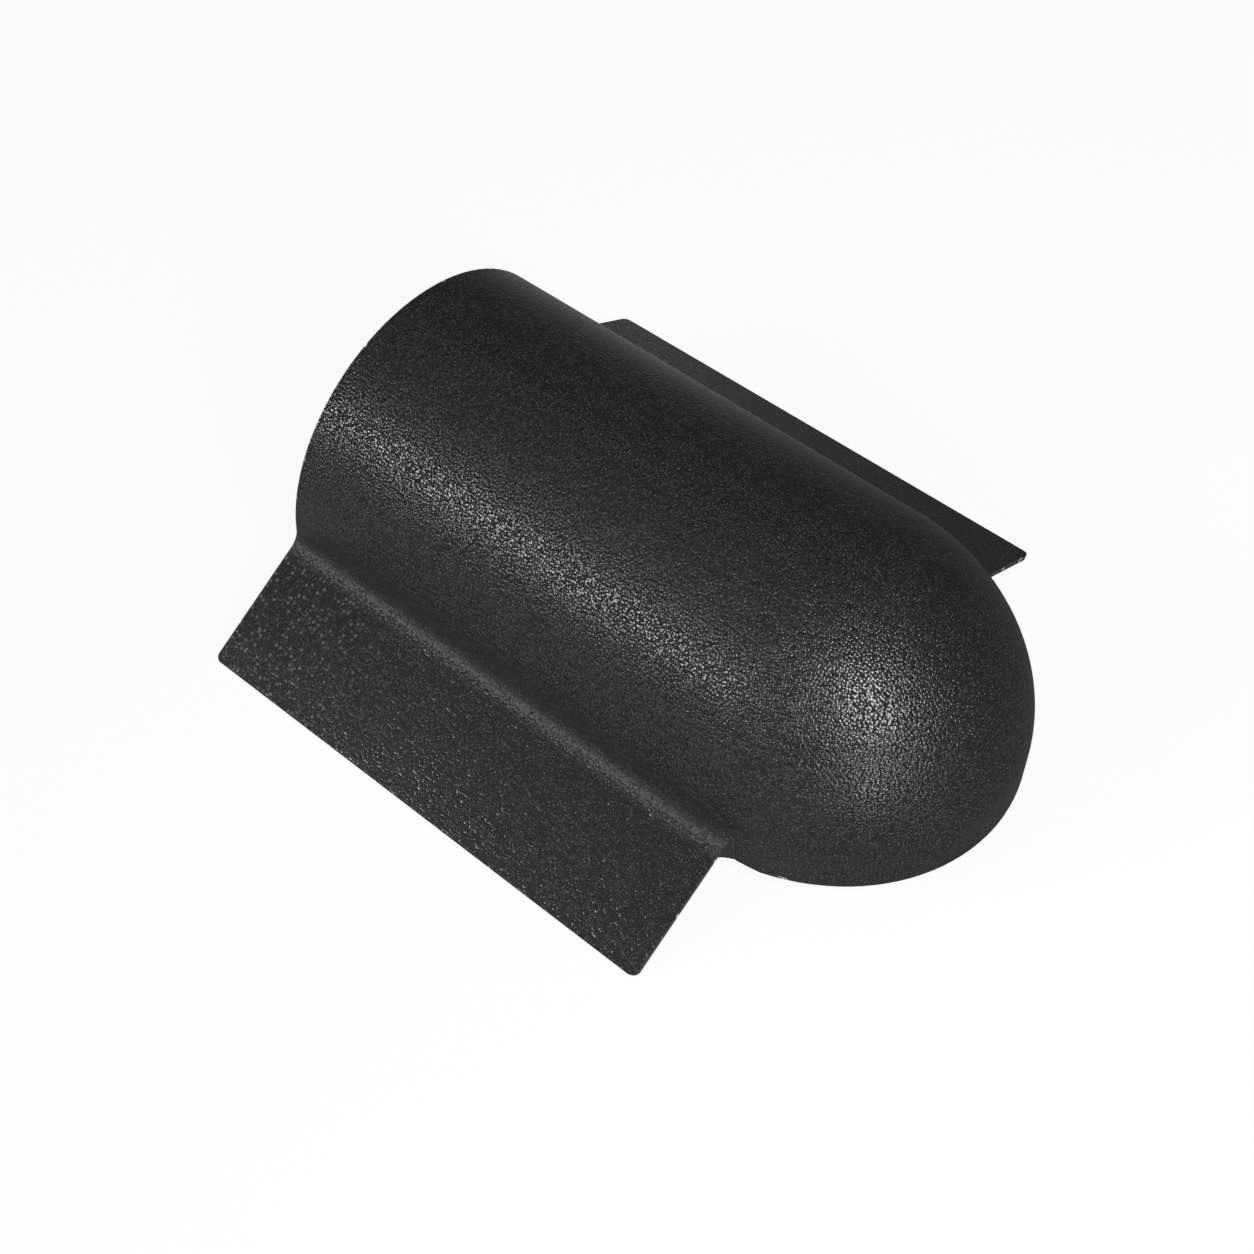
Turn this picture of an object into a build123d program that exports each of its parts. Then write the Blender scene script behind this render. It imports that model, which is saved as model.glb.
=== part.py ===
from build123d import *
import os
from math import cos, radians, sin, sqrt, tan

# Hip end cap: a roof capping formed from one plastic sheet.
# A half-round barrel, open at -X, is closed at +X by a dome whose skirt drops a little below the barrel's axis.
# A flat flange leaves each side of the barrel through a rounded fold and slopes down, to lie on the roof.
# A small web fills the corner between each flange's end and the skirt of the dome.
# It is drawn with the barrel's axis on X and the open end at zero, and set on the floor at the end.

# Driving dimensions, in millimetres and degrees
SHEET = 2.5  # thickness of the sheet
BARREL_RADIUS = 75.0  # outside of the barrel
BARREL_LENGTH = 200.0  # from the open end to where the dome begins
DOME_REACH = 83.0  # from there to the tip of the dome
SKIRT_DROP = 12.8  # from the barrel's axis down to the dome's rim
FLANGE_WIDTH = 58.0  # down the slope, from the fold's sharp corner to the outer edge
FLANGE_SLOPE = 29.0  # fall of the flange, outwards from level
FLANGE_OVERRUN = 17.5  # how far the flanges run on beside the dome
FOLD_HEIGHT = 2.0  # the fold's sharp corner, above the barrel's axis
FOLD_RADIUS = 8.5  # the fold's outer, hollow face
CORNER_RADIUS = 3.0  # the flanges' outer corners, seen square on
WEB_RADIUS = 10.0  # the web's hollow face, seen from above
RIM_RISE = 2.8  # how far the dome's rim rises at the webs
RIM_RUN = 12.0  # the length of rim, beyond the flanges' ends, over which it rises

# Worked out from those
FLANGE_LENGTH = BARREL_LENGTH + FLANGE_OVERRUN
WEB_END = FLANGE_LENGTH + WEB_RADIUS
FOLD_LENGTH = WEB_END + SHEET  # the folds are made this long, then cut back to the webs
SLOPE_COS = cos(radians(FLANGE_SLOPE))
SLOPE_SIN = sin(radians(FLANGE_SLOPE))
SLOPE_TAN = tan(radians(FLANGE_SLOPE))
FLANGE_BASE = FOLD_HEIGHT - FLANGE_WIDTH * SLOPE_SIN - SHEET * SLOPE_COS
BASE_HEIGHT = min(FLANGE_BASE, -SKIRT_DROP)
OVERALL_LENGTH = BARREL_LENGTH + DOME_REACH
SPARE = 20.0  # how far a block stands clear of what it cuts
BLOCK_BOTTOM = BASE_HEIGHT - SPARE


def barrel_and_dome(inset):
    """The barrel and dome above the axis, with their plan carried straight down, all drawn in by inset."""
    radius = BARREL_RADIUS - inset
    reach = DOME_REACH - inset
    outline = [
        Line((0, 0), (0, radius)),
        Line((0, radius), (BARREL_LENGTH, radius)),
        EllipticalCenterArc((BARREL_LENGTH, 0), reach, radius, start_angle=0, arc_size=90),
        Line((BARREL_LENGTH + reach, 0), (0, 0)),
    ]
    half_plan = make_face(outline)
    upper = revolve(half_plan, Axis.X, 180)
    plan = half_plan + mirror(half_plan, Plane.XZ)
    lower = extrude(plan, amount=-BLOCK_BOTTOM, dir=(0, 0, -1))
    return upper + lower


def dome_side(along, inset):
    """Half width of the dome's plan, drawn in by inset, at a distance along from the open end."""
    return (BARREL_RADIUS - inset) * sqrt(1 - ((along - BARREL_LENGTH) / (DOME_REACH - inset)) ** 2)


def slope_height(across, inset):
    """Height of a flange's face, inset below its top, at a distance across from the mid-plane."""
    return FOLD_HEIGHT + (BARREL_RADIUS - across) * SLOPE_TAN - inset / SLOPE_COS


def flange_block(inset):
    """The ground under both flanges' faces, from inside the barrel to clear of their outer edges."""
    inner = BARREL_RADIUS - 2 * FOLD_RADIUS
    outer = BARREL_RADIUS + FLANGE_WIDTH
    section = Polyline(
        (inner, slope_height(inner, inset)),
        (outer, slope_height(outer, inset)),
        (outer, slope_height(outer, inset) - SPARE),
        (inner, BLOCK_BOTTOM),
        close=True,
    )
    left = extrude(Plane.YZ * make_face(section), amount=FOLD_LENGTH)
    return left + mirror(left, Plane.XZ)


def is_fold(edge, inset):
    """Whether an edge lies where a flange's face meets the side of the barrel or dome."""
    middle = edge @ 0.5
    on_slope = abs(middle.Z - slope_height(abs(middle.Y), inset)) < 0.01
    beside_wall = abs(middle.Y) < BARREL_RADIUS - inset + 0.01
    between_ends = 0.01 < middle.X < FOLD_LENGTH - 0.01
    return on_slope and beside_wall and between_ends


def under_face(inset):
    """Everything under the sheet's outer face, or under a face inset below it, with the folds rounded."""
    ground = barrel_and_dome(inset) + flange_block(inset)
    folds = [edge for edge in ground.edges() if is_fold(edge, inset)]
    return fillet(folds, FOLD_RADIUS + inset)


def fold_top():
    """A level just above the highest part of the folds, where the dome's side is plain again."""
    return slope_height(dome_side(FOLD_LENGTH, 0), 0) + FOLD_RADIUS


def web_side():
    """Distance across from the mid-plane to where a web begins, on the flange's end."""
    return dome_side(WEB_END, SHEET / 2) + WEB_RADIUS


def web_plan(start):
    """Plan of the webs and of all between them, from a distance along to where they meet the dome."""
    plan = Pos(start, 0) * Rectangle(WEB_END - start, 2 * web_side(), align=(Align.MIN, Align.CENTER))
    for across in (web_side(), -web_side()):
        plan -= Pos(WEB_END, across) * Circle(WEB_RADIUS)
    return plan


def end_cut():
    """All that lies below the dome, beyond the flanges' ends and the webs."""
    beyond = Pos(FLANGE_LENGTH, 0) * Rectangle(
        DOME_REACH + SPARE,
        2 * (BARREL_RADIUS + FLANGE_WIDTH + SPARE),
        align=(Align.MIN, Align.CENTER),
    )
    depth = fold_top() - BLOCK_BOTTOM + SPARE
    return Pos(0, 0, fold_top()) * extrude(beyond - web_plan(FLANGE_LENGTH), amount=-depth)


def side_cut():
    """All that lies beyond the left flange's outer edge, which is cut square to its face."""
    flange_face = Plane((0, BARREL_RADIUS, FOLD_HEIGHT), x_dir=(1, 0, 0), z_dir=(0, SLOPE_SIN, SLOPE_COS))
    return flange_face * Pos(FLANGE_LENGTH / 2, FLANGE_WIDTH, 0) * Box(
        FLANGE_LENGTH + SPARE,
        FLANGE_WIDTH,
        2 * SPARE,
        align=(Align.CENTER, Align.MIN, Align.CENTER),
    )


def skirt():
    """The dome's side, from its rim up past the folds. The rim is level but for its rise at the webs."""
    profile = Polyline(
        (FLANGE_LENGTH, fold_top()),
        (FLANGE_LENGTH, RIM_RISE - SKIRT_DROP),
        (FLANGE_LENGTH + RIM_RUN, -SKIRT_DROP),
        (OVERALL_LENGTH, -SKIRT_DROP),
        (OVERALL_LENGTH, fold_top()),
        close=True,
    )
    slab = extrude(Plane.XZ * make_face(profile), amount=BARREL_RADIUS, both=True)
    return slab & (barrel_and_dome(0) - barrel_and_dome(SHEET))


def webs():
    """Fills the corners under the flanges' ends, down to a slant from each flange to the dome's rim."""
    rim_side = dome_side(FLANGE_LENGTH, 0)
    rim_height = RIM_RISE - SKIRT_DROP
    flange_height = slope_height(web_side(), SHEET)
    section = Polyline(
        (-web_side(), fold_top()),
        (-web_side(), flange_height),
        (-rim_side, rim_height),
        (rim_side, rim_height),
        (web_side(), flange_height),
        (web_side(), fold_top()),
        close=True,
    )
    start = FLANGE_LENGTH - SHEET
    slanted = Pos(start, 0, 0) * extrude(Plane.YZ * make_face(section), amount=WEB_END - start)
    upright = Pos(0, 0, BLOCK_BOTTOM) * extrude(web_plan(start), amount=fold_top() - BLOCK_BOTTOM)
    return (under_face(0) & slanted & upright) - barrel_and_dome(SHEET)


def round_corners(sheet):
    """Rounds the outer corners of the flanges."""
    left_normal = Axis((0, 0, 0), (0, SLOPE_SIN, SLOPE_COS))
    right_normal = Axis((0, 0, 0), (0, -SLOPE_SIN, SLOPE_COS))
    corners = sheet.edges().filter_by(left_normal) + sheet.edges().filter_by(right_normal)
    return fillet(corners, CORNER_RADIUS)


sheet = under_face(0) - under_face(SHEET)
trimmed = sheet - side_cut() - mirror(side_cut(), Plane.XZ) - end_cut()
cap = Pos(-OVERALL_LENGTH / 2, 0, -BASE_HEIGHT) * round_corners(trimmed + skirt() + webs())

os.makedirs("parts", exist_ok=True)
export_step(cap, "parts/hip_end_cap.step")
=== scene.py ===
from math import cos, radians, sin

import bpy
from mathutils import Matrix, Vector

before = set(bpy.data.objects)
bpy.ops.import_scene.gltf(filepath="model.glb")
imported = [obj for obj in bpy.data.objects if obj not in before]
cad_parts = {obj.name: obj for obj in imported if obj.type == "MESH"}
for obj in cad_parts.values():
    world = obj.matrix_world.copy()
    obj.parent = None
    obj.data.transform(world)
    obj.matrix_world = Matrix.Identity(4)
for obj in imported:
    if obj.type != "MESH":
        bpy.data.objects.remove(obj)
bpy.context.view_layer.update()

# Camera, fitted to the outline in the photograph. Lengths are in metres, angles in degrees.
CAMERA_PLACE = (0.27978, -0.35729, 0.61124)
CAMERA_AZIMUTH = 41.32  # the view comes from this far round from -Y towards +X
CAMERA_ELEVATION = 52.72
CAMERA_ROLL = -1.16
CAMERA_REACH = 50.0
LENS_MM = 54.893
SENSOR_MM = 36.0

# Regions of the cap, in metres. A pair is where a region begins, and where it is full.
DOME_START = 0.0585  # where the barrel ends and the dome begins
INNER_LINE_HEIGHT = -0.02  # a line at this height, under the axis, is on the inner side of every face
FOLD = (0.072, 0.0755)  # out from the mid-plane
FLANGE = (0.0775, 0.083)  # out from the mid-plane; the fold runs out here
COARSE = (-0.045, -0.115)  # along the flanges, towards the open end
OPEN_END = (-0.1404, -0.1413)  # a strip beside the open end, where burrs stand, painted bright partly as glints
RIM = (0.0172, 0.0159)  # down to the dome's rim, where they stand too
RIM_START = (0.086, 0.09)  # along the cap, past the flanges' ends
OUTER_FACE = (0.25, 0.4)  # how squarely a face looks away from the inner line, on the grained side
INNER_FACE = (-0.25, -0.4)  # the same, on the smooth side
UPPER_FACE = (-0.3, -0.1)  # how far up a face looks; faces that look down have no grain

# Grain of the outer face: cells to the metre, and heights in metres.
# A pair of heights or of shares is for the barrel and dome, then for the flanges.
PEBBLE_SCALE = 840.0
PEBBLE_HEIGHT = 0.00078  # what a pebble would fall by at a whole cell's width from its middle
PEBBLE_SHAPE = 3.0  # the power of the distance by which it falls
PEBBLE_SOFTNESS = 0.15
PEBBLE_DISORDER = 0.75
PEBBLE_LEAST = (0.3, 0.05)  # the share of that height that the lowest pebbles have
PEBBLE_SPREAD = (0.7, 0.11)  # how much more the highest have
COARSE_LEFT = 0.65  # the share of its height that a fine pebble keeps among the coarse ones
FOLD_SMOOTHING = 0.6  # how far a fold takes on the flatter relief of the flanges
DENT_SCALE = 1750.0
DENT_HEIGHT = (0.00003, 0.00001)
COARSE_SCALE = 480.0
COARSE_CHANCE = (0.35, 0.65)  # the chance number at which a coarse pebble begins to show, and shows fully
BURR_GLINT_SCALE = 260.0
BURR_GLINT_LEVEL = (0.66, 0.72)  # the level of the noise at which a painted burr glint begins, and is full

# Roughness. The pair is for the barrel and dome, then for the flanges.
GLOSS = (0.18, 0.17)
FOLD_GLOSS = 0.3  # what roughness gains in the folds
INNER_GLOSS = 0.42
GRAZING = (0.3, 0.7)  # how far edge on a face is seen where it begins to look rougher, and is roughest
GRAZING_GLOSS = 0.1  # what roughness gains there, because the pebbles hide each other
REFRACTION = 1.5

# Colours
BLACK = (0.0122, 0.0126, 0.0135, 1)
GLINT_AND_SCUFF = (0.1, 0.101, 0.104, 1)  # painted glints on the tops of the pebbles, standing in for light caught by the grain, with some wear
GLINT_AND_SCUFF_SHARE = (0.6, 0.65)  # how strong the painted glints are on the barrel and dome, then on the flanges
GLINT_AND_SCUFF_LEAST = 0.35  # the share of it that the lowest pebbles have
GLINT_TOP = (0.4, 0.12)  # from a pebble's middle, in cells, where its painted glint begins, and where it is full
# the same for the painted glints of the coarse pebbles
COARSE_GLINT_TOP = (0.45, 0.15)
CUT_EDGE = (0.03, 0.0305, 0.032, 1)
# burrs painted near white, partly standing for glints of light on them
BURR_GLINT = (0.45, 0.45, 0.46, 1)
WHITE = (1, 1, 1, 1)

# The floor. A glow makes it white to the camera but for the cap's shadow. In reflections alone, a dim glow
# takes the floor's place by a share that grows over a reach along a slanting way, because the cap mirrors a
# darker floor by its dome.
FLOOR_HALF = 8.0
FLOOR_COLOUR = (0.8, 0.8, 0.8, 1)
FLOOR_GLOSS = 0.9
SEEN_SHARE = 0.92
MIRRORED_GLOW = 0.08
MIRRORED_SHARE = (0.55, 0.93)
MIRRORED_WAY = (1.0, 0.5, 0.0)
MIRRORED_REACH = (-0.1, 0.15)

# The surroundings: their level near the floor and overhead, and how steeply a ray rises there
SKY_LEVEL = (0.03, 0.26)
SKY_RISE = (0.25, 1.0)

# Lamps: degrees round from +X, degrees up, distance, width and height in metres, and watts
LAMP_TARGET = (0, 0, 0.04)
LAMPS = {
    "left_box": (-121, 30.5, 4.0, 1.6, 0.6, 60),
    "right_box": (-23.7, 45, 1.13, 0.3, 0.6, 11.5),
    "front_box": (-32, 5, 1.0, 0.3, 0.14, 1.8),
}


def add_camera():
    azimuth, elevation, roll = radians(CAMERA_AZIMUTH), radians(CAMERA_ELEVATION), radians(CAMERA_ROLL)
    back = Vector((sin(azimuth) * cos(elevation), -cos(azimuth) * cos(elevation), sin(elevation)))
    right = Vector((cos(azimuth), sin(azimuth), 0))
    up = back.cross(right)
    axes = Matrix((right, up, back)).transposed() @ Matrix.Rotation(roll, 3, "Z")
    data = bpy.data.cameras.new("camera")
    data.lens = LENS_MM
    data.sensor_width = SENSOR_MM
    data.clip_end = CAMERA_REACH
    camera = bpy.data.objects.new("camera", data)
    camera.matrix_world = Matrix.Translation(CAMERA_PLACE) @ axes.to_4x4()
    bpy.context.scene.collection.objects.link(camera)
    bpy.context.scene.camera = camera


def add_lamp(name, azimuth, elevation, distance, width, height, power):
    """A soft box that faces the cap from a direction given in degrees."""
    way = Vector((
        cos(radians(azimuth)) * cos(radians(elevation)),
        sin(radians(azimuth)) * cos(radians(elevation)),
        sin(radians(elevation)),
    ))
    data = bpy.data.lights.new(name, "AREA")
    data.shape = "RECTANGLE"
    data.size = width
    data.size_y = height
    data.energy = power
    lamp = bpy.data.objects.new(name, data)
    lamp.location = Vector(LAMP_TARGET) + way * distance
    lamp.rotation_euler = way.to_track_quat("Z", "Y").to_euler()
    bpy.context.scene.collection.objects.link(lamp)


def node(tree, kind, settings=None, inputs=None, links=None):
    """Adds a shader node with its settings, the values of its inputs, and the sockets that feed them."""
    made = tree.nodes.new(kind)
    for name, value in (settings or {}).items():
        setattr(made, name, value)
    for name, value in (inputs or {}).items():
        made.inputs[name].default_value = value
    for name, socket in (links or {}).items():
        tree.links.new(socket, made.inputs[name])
    return made


def calculate(tree, operation, first, second=0.0, third=0.0):
    """A sum of numbers or sockets by a Math node; its output socket."""
    made = tree.nodes.new("ShaderNodeMath")
    made.operation = operation
    for socket, value in zip(made.inputs, (first, second, third)):
        if isinstance(value, (int, float)):
            socket.default_value = value
        else:
            tree.links.new(value, socket)
    return made.outputs[0]


def times(tree, first, second):
    return calculate(tree, "MULTIPLY", first, second)


def larger(tree, first, second):
    return calculate(tree, "MAXIMUM", first, second)


def other_than(tree, share):
    """What a share from none to one leaves."""
    return calculate(tree, "SUBTRACT", 1.0, share)


def vector_math(tree, operation, first, second):
    """A Vector Math node on two vector sockets."""
    return node(tree, "ShaderNodeVectorMath", {"operation": operation}, None, {0: first, 1: second})


def ramp(tree, value, low, high, to_low=0.0, to_high=1.0):
    """Takes a value smoothly from to_low at low to to_high at high."""
    made = node(tree, "ShaderNodeMapRange", {"interpolation_type": "SMOOTHSTEP"}, {
        "From Min": low,
        "From Max": high,
        "To Min": to_low,
        "To Max": to_high,
    }, {"Value": value})
    return made.outputs["Result"]


def between(tree, share, pair):
    """The pair's first value where the share is none, its second where the share is one."""
    return ramp(tree, share, 0.0, 1.0, *pair)


def mixed_colour(tree, share, first, second):
    """The second colour over the first, by a share from none to one."""
    made = node(tree, "ShaderNodeMix", {"data_type": "RGBA"}, None, {0: share})
    for socket, colour in ((made.inputs[6], first), (made.inputs[7], second)):
        if isinstance(colour, tuple):
            socket.default_value = colour
        else:
            tree.links.new(colour, socket)
    return made.outputs[2]


def axes_of(tree, vector):
    """The three parts of a vector socket, by their letters."""
    return node(tree, "ShaderNodeSeparateXYZ", None, None, {0: vector}).outputs


def faces(tree, place):
    """Where the grained outer face is, and where the smooth inner face is. The cut edges are in neither."""
    normal = node(tree, "ShaderNodeNewGeometry").outputs["True Normal"]
    along = calculate(tree, "MINIMUM", axes_of(tree, place)["X"], DOME_START)
    inner_point = node(tree, "ShaderNodeCombineXYZ", None, {"Z": INNER_LINE_HEIGHT}, {"X": along})
    away = vector_math(tree, "SUBTRACT", place, inner_point.outputs[0])
    way = node(tree, "ShaderNodeVectorMath", {"operation": "NORMALIZE"}, None, {0: away.outputs[0]})
    outward = vector_math(tree, "DOT_PRODUCT", way.outputs[0], normal).outputs["Value"]
    upper = ramp(tree, axes_of(tree, normal)["Z"], *UPPER_FACE)
    outer = times(tree, ramp(tree, outward, *OUTER_FACE), upper)
    return outer, ramp(tree, outward, *INNER_FACE)


def regions(tree, place):
    """The regions of the cap by their names, each a share from none to one."""
    axes = axes_of(tree, place)
    side = calculate(tree, "ABSOLUTE", axes["Y"])
    outer, inner = faces(tree, place)
    edge = calculate(tree, "SUBTRACT", other_than(tree, outer), inner)
    flange = ramp(tree, side, *FLANGE)
    rim = times(tree, ramp(tree, axes["Z"], *RIM), ramp(tree, axes["X"], *RIM_START))
    strip = larger(tree, rim, ramp(tree, axes["X"], *OPEN_END))
    return {
        "outer": outer,
        "edge": edge,
        "flange": flange,
        "fold": times(tree, ramp(tree, side, *FOLD), other_than(tree, flange)),
        "coarse": times(tree, flange, ramp(tree, axes["X"], *COARSE)),
        "burred_and_glinting": larger(tree, edge, times(tree, strip, outer)),
    }


def pebbles(tree, place, scale):
    """Pebbles of one size: how far a point is from its pebble's middle, and each pebble's chance number."""
    cells = node(tree, "ShaderNodeTexVoronoi", {"feature": "SMOOTH_F1"}, {
        "Scale": scale,
        "Smoothness": PEBBLE_SOFTNESS,
        "Randomness": PEBBLE_DISORDER,
    }, {"Vector": place})
    chance = node(tree, "ShaderNodeSeparateColor", None, None, {0: cells.outputs["Color"]}).outputs[0]
    return cells.outputs["Distance"], chance


def noise(tree, place, scale, detail):
    made = node(tree, "ShaderNodeTexNoise", None, {"Scale": scale, "Detail": detail}, {"Vector": place})
    return made.outputs["Fac"]


def grain_normal(tree, place, region, distance, chance):
    """The normal of the outer face with its pebbles and dents."""
    flat = larger(tree, region["flange"], times(tree, region["fold"], FOLD_SMOOTHING))
    spread = between(tree, flat, PEBBLE_SPREAD)
    least = between(tree, flat, PEBBLE_LEAST)
    amount = calculate(tree, "MULTIPLY_ADD", chance, spread, least)
    amount = times(tree, amount, between(tree, region["coarse"], (1.0, COARSE_LEFT)))
    hollow = times(tree, calculate(tree, "POWER", distance, PEBBLE_SHAPE), amount)
    dent_height = between(tree, region["flange"], DENT_HEIGHT)
    dents = times(tree, noise(tree, place, DENT_SCALE, 0.0), dent_height)
    relief = calculate(tree, "MULTIPLY_ADD", hollow, -PEBBLE_HEIGHT, dents)
    relief = times(tree, relief, region["outer"])
    bump = node(tree, "ShaderNodeBump", None, {"Strength": 1.0, "Distance": 1.0}, {"Height": relief})
    return bump.outputs["Normal"]


def plastic_colour(tree, place, region, distance, chance):
    """Black, with painted glints on the pebble tops that stand partly for wear, paler cut edges, and a few
    burrs painted bright, partly as glints.
    """
    # Painted glints: the pebble tops are made paler, standing in for light caught by the grain, with some
    # wear
    glint_tops = times(tree, ramp(tree, distance, *GLINT_TOP), between(tree, chance, (GLINT_AND_SCUFF_LEAST, 1.0)))
    glint_tops = times(tree, glint_tops, between(tree, region["flange"], GLINT_AND_SCUFF_SHARE))
    coarse_distance, coarse_chance = pebbles(tree, place, COARSE_SCALE)
    coarse_shown = times(tree, ramp(tree, coarse_chance, *COARSE_CHANCE), region["coarse"])
    coarse_glint_tops = times(tree, ramp(tree, coarse_distance, *COARSE_GLINT_TOP), coarse_shown)
    glint_tops = times(tree, larger(tree, glint_tops, coarse_glint_tops), region["outer"])
    # Bright burrs painted on the cut edges and beside the rim and the open end, partly as glints
    burr_glints = times(tree, region["burred_and_glinting"], ramp(tree, noise(tree, place, BURR_GLINT_SCALE, 1.0), *BURR_GLINT_LEVEL))
    colour = mixed_colour(tree, glint_tops, BLACK, GLINT_AND_SCUFF)
    colour = mixed_colour(tree, region["edge"], colour, CUT_EDGE)
    return mixed_colour(tree, burr_glints, colour, BURR_GLINT)


def roughness(tree, region):
    """Low on the grain, higher in the folds, where the grain is seen edge on, and on the inner face."""
    facing = node(tree, "ShaderNodeLayerWeight", None, {"Blend": 0.5}).outputs["Facing"]
    grazing = ramp(tree, facing, *GRAZING, 0.0, GRAZING_GLOSS)
    rough = calculate(tree, "ADD", between(tree, region["flange"], GLOSS), grazing)
    rough = calculate(tree, "MULTIPLY_ADD", region["fold"], FOLD_GLOSS, rough)
    return larger(tree, rough, times(tree, other_than(tree, region["outer"]), INNER_GLOSS))


def black_plastic():
    material = bpy.data.materials.new("black_grained_plastic")
    material.use_nodes = True
    tree = material.node_tree
    shader = tree.nodes["Principled BSDF"]
    shader.inputs["IOR"].default_value = REFRACTION
    place = tree.nodes.new("ShaderNodeTexCoord").outputs["Object"]
    region = regions(tree, place)
    distance, chance = pebbles(tree, place, PEBBLE_SCALE)
    tree.links.new(grain_normal(tree, place, region, distance, chance), shader.inputs["Normal"])
    tree.links.new(plastic_colour(tree, place, region, distance, chance), shader.inputs["Base Color"])
    tree.links.new(roughness(tree, region), shader.inputs["Roughness"])
    return material


def seen_directly(tree, path):
    """One where the camera looks straight at a face or through glass, by the Light Path node."""
    return larger(tree, path.outputs["Is Camera Ray"], path.outputs["Is Transmission Ray"])


def pale_floor():
    material = bpy.data.materials.new("pale_floor")
    material.use_nodes = True
    tree = material.node_tree
    shader = tree.nodes["Principled BSDF"]
    shader.inputs["Base Color"].default_value = FLOOR_COLOUR
    shader.inputs["Roughness"].default_value = FLOOR_GLOSS
    path = tree.nodes.new("ShaderNodeLightPath")
    seen = seen_directly(tree, path)
    place = tree.nodes.new("ShaderNodeTexCoord").outputs["Object"]
    along = node(tree, "ShaderNodeVectorMath", {"operation": "DOT_PRODUCT"}, {1: MIRRORED_WAY}, {0: place})
    dimming = ramp(tree, along.outputs["Value"], *MIRRORED_REACH, *MIRRORED_SHARE)
    mirrored = times(tree, path.outputs["Is Glossy Ray"], dimming)
    share = calculate(tree, "MULTIPLY_ADD", seen, SEEN_SHARE, mirrored)
    glow = node(tree, "ShaderNodeEmission", None, None, {"Strength": larger(tree, seen, MIRRORED_GLOW)})
    mixed = node(tree, "ShaderNodeMixShader", None, None, {
        0: share,
        1: shader.outputs[0],
        2: glow.outputs[0],
    })
    tree.links.new(mixed.outputs[0], tree.nodes["Material Output"].inputs["Surface"])
    return material


def add_floor():
    """A wide pale floor, which glows to the camera and is dimmer in reflections."""
    mesh = bpy.data.meshes.new("floor")
    near, far = -FLOOR_HALF, FLOOR_HALF
    mesh.from_pydata([(near, near, 0), (far, near, 0), (far, far, 0), (near, far, 0)], [], [(0, 1, 2, 3)])
    mesh.materials.append(pale_floor())
    floor = bpy.data.objects.new("floor", mesh)
    bpy.context.scene.collection.objects.link(floor)


def add_world():
    """Plain studio surroundings, white to the camera; to the cap, dim near the floor and paler overhead."""
    world = bpy.data.worlds.new("studio")
    bpy.context.scene.world = world
    world.use_nodes = True
    tree = world.node_tree
    way = tree.nodes.new("ShaderNodeTexCoord").outputs["Generated"]
    seen = seen_directly(tree, tree.nodes.new("ShaderNodeLightPath"))
    level = larger(tree, seen, ramp(tree, axes_of(tree, way)["Z"], *SKY_RISE, *SKY_LEVEL))
    tree.links.new(level, tree.nodes["Background"].inputs["Strength"])
    tree.nodes["Background"].inputs["Color"].default_value = WHITE


add_camera()
add_floor()
add_world()
for lamp_name, lamp_values in LAMPS.items():
    add_lamp(lamp_name, *lamp_values)
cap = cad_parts["hip_end_cap"]
cap.data.materials.clear()
cap.data.materials.append(black_plastic())
bpy.context.scene.view_settings.view_transform = "Standard"
